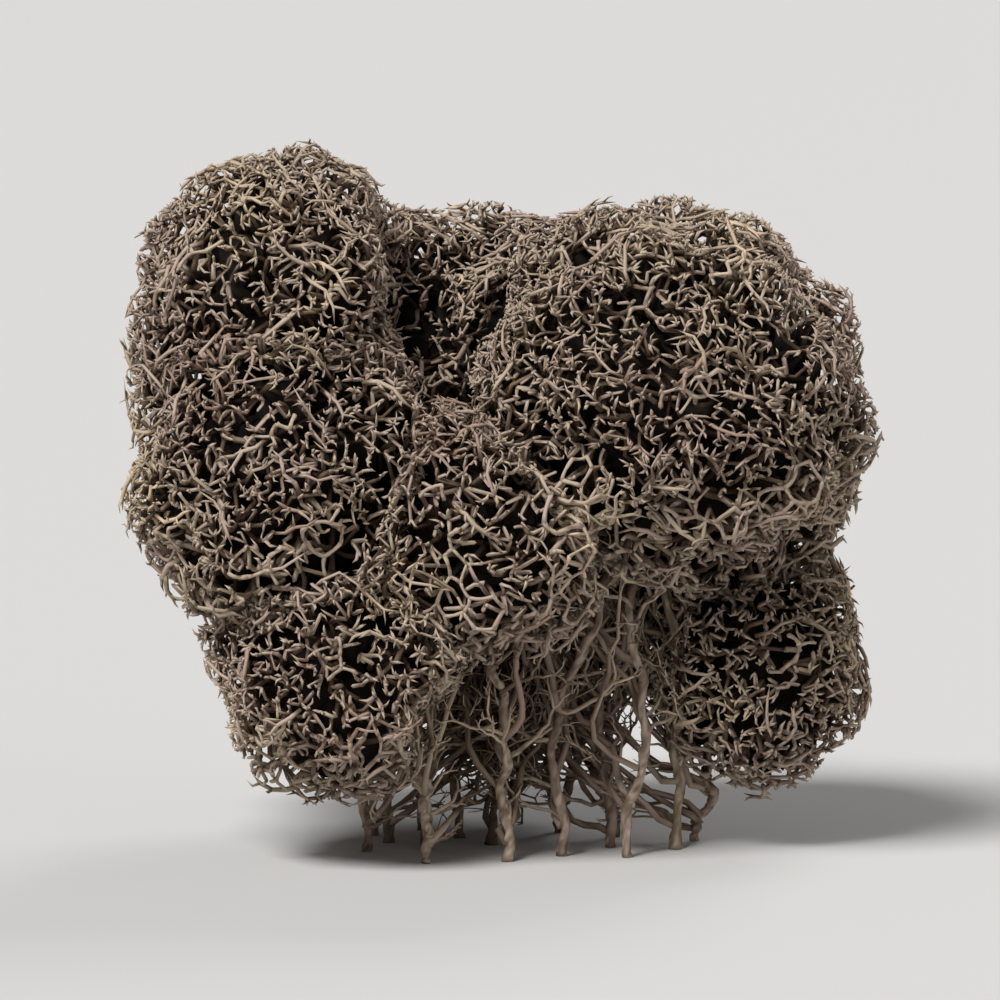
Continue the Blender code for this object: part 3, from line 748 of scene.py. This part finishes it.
def painted_shade_ball(head, grow):
    """A ball of rows and columns, each corner at about SHADE_BALL_SHARE of the head's outline, by chance.

    It is near black painted shade, and goes no further than the head's reach, so the balls of two heads
    meet at the wall between them.
    """
    polar = np.linspace(0.0, np.pi, SHADE_BALL_ROWS + 1)[1:-1, None]
    turn = np.arange(SHADE_BALL_COLUMNS)[None] * 2.0 * np.pi / SHADE_BALL_COLUMNS
    upright = np.cos(polar) + 0.0 * turn
    directions = np.stack([np.sin(polar) * np.cos(turn), np.sin(polar) * np.sin(turn), upright], axis=-1)
    directions = np.concatenate([directions.reshape(-1, 3), [(0.0, 0.0, 1.0), (0.0, 0.0, -1.0)]])
    share = SHADE_BALL_SHARE * (1.0 + SHADE_BALL_ROUGHNESS * grow.normal(size=len(directions)))
    rim = outline(head, directions)
    pressed = hollowed(centres[head] + directions * rim[:, None])
    far = np.minimum(np.maximum(rim * share - pressed, SHADE_BALL_LEAST * rim), reach(head, directions))
    corners = centres[head] + directions * far[:, None]

    around = np.arange(SHADE_BALL_COLUMNS)
    onward = (around + 1) % SHADE_BALL_COLUMNS
    row = np.arange(SHADE_BALL_ROWS - 2)[:, None] * SHADE_BALL_COLUMNS
    next_row = row + SHADE_BALL_COLUMNS
    quads = np.stack([row + around, next_row + around, next_row + onward, row + onward], axis=-1)
    low = (SHADE_BALL_ROWS - 2) * SHADE_BALL_COLUMNS
    top_pole = np.full(SHADE_BALL_COLUMNS, len(corners) - 2)
    top = np.stack([top_pole, around, onward], axis=-1)
    bottom = np.stack([top_pole + 1, low + onward, low + around], axis=-1)
    tones = SHADE_BALL_TONE * grow.random(len(corners))
    marks = np.stack([tones, grow.uniform(*SHADE_BALL_PATCHES, len(corners))], axis=-1)
    return corners, quads.reshape(-1, 4), np.concatenate([top, bottom]), marks


# The lichen itself: a dry, dull, dyed skin, pale grey brown towards the tips and darker low on the stems.
# Deep in the heads and in the middle of the clump it is darker still, partly for older twigs and partly
# as painted shade. It drifts a little to olive and to a dull mauve, and each twig is its own shade.
AGE_AND_SHADE_COLOURS = (
    (0.0, (0.004, 0.002, 0.001)),
    (0.16, (0.024, 0.013, 0.007)),
    (0.36, (0.079, 0.05, 0.033)),
    (0.62, (0.194, 0.145, 0.112)),
    (0.85, (0.464, 0.382, 0.318)),
    (1.0, (0.44, 0.353, 0.286)),
)
PATCH_COLOURS = (
    (0.0, (0.66, 0.53, 0.46)),
    (0.27, (0.94, 0.88, 0.87)),
    (0.5, (1.02, 0.98, 0.94)),
    (0.72, (1.01, 1.0, 0.88)),
    (1.0, (1.44, 1.36, 1.17)),
)
LICHEN_ROUGHNESS = 0.7
LICHEN_SPECULAR = 0.13


def lichen_material():
    """The colour of its age and painted shade, from the UV map's u, times that of its patch, from the
    map's v.
    """
    material = bpy.data.materials.new("lichen")
    material.use_nodes = True
    nodes, links = material.node_tree.nodes, material.node_tree.links
    shader = nodes["Principled BSDF"]
    marks = nodes.new("ShaderNodeUVMap")
    marks.uv_map = "OFBake"
    split = nodes.new("ShaderNodeSeparateXYZ")
    links.new(marks.outputs["UV"], split.inputs["Vector"])
    tint = nodes.new("ShaderNodeMix")
    tint.data_type = "RGBA"
    tint.blend_type = "MULTIPLY"
    tint.inputs["Factor"].default_value = 1.0
    for colours, source, target in ((AGE_AND_SHADE_COLOURS, "X", "A"), (PATCH_COLOURS, "Y", "B")):
        ramp = nodes.new("ShaderNodeValToRGB")
        links.new(split.outputs[source], ramp.inputs["Fac"])
        stops = ramp.color_ramp.elements
        while len(stops) < len(colours):
            stops.new(0.5)
        for stop, (place, colour) in zip(stops, colours):
            stop.position = place
            stop.color = (*colour, 1.0)
        links.new(ramp.outputs["Color"], tint.inputs[target])
    links.new(tint.outputs["Result"], shader.inputs["Base Color"])
    shader.inputs["Roughness"].default_value = LICHEN_ROUGHNESS
    shader.inputs["Specular IOR Level"].default_value = LICHEN_SPECULAR
    return material


def joined(pieces):
    """Several lots of branches as one: their corners end to end, with each lot's faces counted on."""
    offsets = np.cumsum([0] + [len(piece[0]) for piece in pieces[:-1]])
    corners = np.concatenate([piece[0] for piece in pieces])
    quads = np.concatenate([piece[1] + offset for piece, offset in zip(pieces, offsets)])
    triangles = np.concatenate([piece[2] + offset for piece, offset in zip(pieces, offsets)])
    marks = np.concatenate([piece[3] for piece in pieces])
    return corners, quads, triangles, marks


def surface(name, pieces, material):
    """One smooth-shaded mesh of all the pieces, with their tone and patch as its UV map."""
    corners, quads, triangles, marks = joined(pieces)
    loops = np.concatenate([quads.ravel(), triangles.ravel()]).astype(np.int32)
    sizes = np.concatenate([np.full(len(quads), 4), np.full(len(triangles), 3)])
    mesh = bpy.data.meshes.new(name)
    mesh.vertices.add(len(corners))
    mesh.vertices.foreach_set("co", corners.astype(np.float32).ravel())
    mesh.loops.add(len(loops))
    mesh.loops.foreach_set("vertex_index", loops)
    mesh.polygons.add(len(sizes))
    mesh.polygons.foreach_set("loop_start", (np.cumsum(sizes) - sizes).astype(np.int32))
    mesh.update(calc_edges=True)
    mesh.uv_layers.new(name="OFBake")
    mesh.uv_layers["OFBake"].uv.foreach_set("vector", marks[loops].astype(np.float32).ravel())
    mesh.validate()
    mesh.shade_smooth()
    mesh.materials.append(material)
    made = bpy.data.objects.new(name, mesh)
    bpy.context.scene.collection.objects.link(made)
    return made


lichen = lichen_material()
for head, name in enumerate(PODETIA):
    grow = np.random.default_rng((SEED, head))
    pieces = [stems(head, grow), *side_branches(head, grow), *head_twigs(head, grow)]
    pieces += [*round_cells(head, grow), *shoots(head, grow), painted_shade_ball(head, grow)]
    podetium = surface("lichen_" + name, pieces, lichen)
    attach(podetium, "root")
    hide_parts("podetium_" + name)

# The room: a plain pale floor that runs on far past the picture, one soft light from the upper left in
# front, weaker ones from the right and from behind, and a camera that is nearly level, as in the photo.
FLOOR_RADIUS = 9.0
FLOOR_COLUMNS = 64
FLOOR_COLOUR = (0.58, 0.57, 0.557, 1.0)
FLOOR_ROUGHNESS = 0.9
STUDIO_LIGHTS = (  # name, strength, how many degrees wide it is, and the way it shines
    ("key", 3.7, 22.0, (0.21, 0.30, -0.45)),
    ("fill", 0.4, 40.0, (-0.45, 0.3, -0.12)),
    ("back", 0.9, 30.0, (-0.25, -0.45, -0.4)),
)
ROOM_COLOUR = (0.96, 0.96, 0.95, 1.0)
ROOM_STRENGTH = 0.14
CAMERA_ELEVATION = 5.0
CAMERA_DISTANCE = 0.62
CAMERA_LENS = 240.0
CAMERA_CLIP_START = 0.01

turn = np.arange(FLOOR_COLUMNS) * 2.0 * np.pi / FLOOR_COLUMNS
floor_points = np.stack([FLOOR_RADIUS * np.cos(turn), FLOOR_RADIUS * np.sin(turn), 0.0 * turn], axis=1)
floor_mesh = bpy.data.meshes.new("floor")
floor_mesh.from_pydata(floor_points.tolist(), [], [list(range(FLOOR_COLUMNS))])
floor = bpy.data.objects.new("floor", floor_mesh)
bpy.context.scene.collection.objects.link(floor)
floor_material = bpy.data.materials.new("floor")
floor_material.use_nodes = True
floor_shader = floor_material.node_tree.nodes["Principled BSDF"]
floor_shader.inputs["Base Color"].default_value = FLOOR_COLOUR
floor_shader.inputs["Roughness"].default_value = FLOOR_ROUGHNESS
floor_mesh.materials.append(floor_material)

for name, strength, width, heading in STUDIO_LIGHTS:
    light = bpy.data.lights.new(name, "SUN")
    light.energy = strength
    light.angle = np.radians(width)
    lamp = bpy.data.objects.new(name, light)
    lamp.rotation_euler = Vector(heading).to_track_quat("-Z", "Y").to_euler()
    bpy.context.scene.collection.objects.link(lamp)

world = bpy.data.worlds.new("studio")
bpy.context.scene.world = world
world.use_nodes = True
world.node_tree.nodes["Background"].inputs["Color"].default_value = ROOM_COLOUR
world.node_tree.nodes["Background"].inputs["Strength"].default_value = ROOM_STRENGTH

low, high = cad_box
middle = (low + high) / 2.0
lens = bpy.data.cameras.new("camera")
lens.lens = CAMERA_LENS
lens.clip_start = CAMERA_CLIP_START
camera = bpy.data.objects.new("camera", lens)
tilt = np.radians(CAMERA_ELEVATION)
camera.location = middle + Vector((0.0, -np.cos(tilt), np.sin(tilt))) * CAMERA_DISTANCE
camera.rotation_euler = (middle - camera.location).to_track_quat("-Z", "Y").to_euler()
bpy.context.scene.collection.objects.link(camera)
bpy.context.scene.camera = camera
bpy.context.scene.view_settings.view_transform = "Standard"
